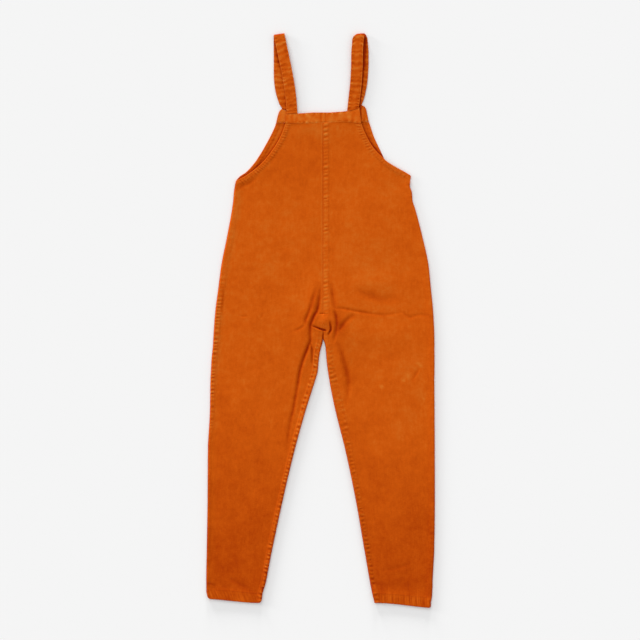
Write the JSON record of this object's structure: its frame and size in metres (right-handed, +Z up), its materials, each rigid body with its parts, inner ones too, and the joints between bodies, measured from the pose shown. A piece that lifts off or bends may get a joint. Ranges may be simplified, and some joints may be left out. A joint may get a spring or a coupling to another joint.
{
  "type": "bib overalls",
  "caption": "Back view of plain bib overalls laid face down: tapered legs, bib, top bands and two folded straps.",
  "frame": {"origin": "middle of the laid garment's outline, on the surface it lies on", "axes": "+X to the wearer's right, +Y from the hems to the straps, +Z up out of the surface, towards the back panels"},
  "size_m": [0.5832, 1.4664, 0.0118],
  "materials": {
    "cord_cloth": "matt garment-dyed cotton needlecord, burnt orange",
    "cord_trim": "the same needlecord sewn double, slightly lighter along its stitched edges",
    "sewing_thread": "matt polyester-cotton thread dyed with the cloth"
  },
  "bodies": {
    "root": {"back_left": "cord_cloth", "back_right": "cord_cloth", "front_left": "cord_cloth", "front_right": "cord_cloth", "back_band": "cord_trim", "front_band": "cord_trim", "strap_left": "cord_trim", "strap_right": "cord_trim"}
  },
  "joints": []
}
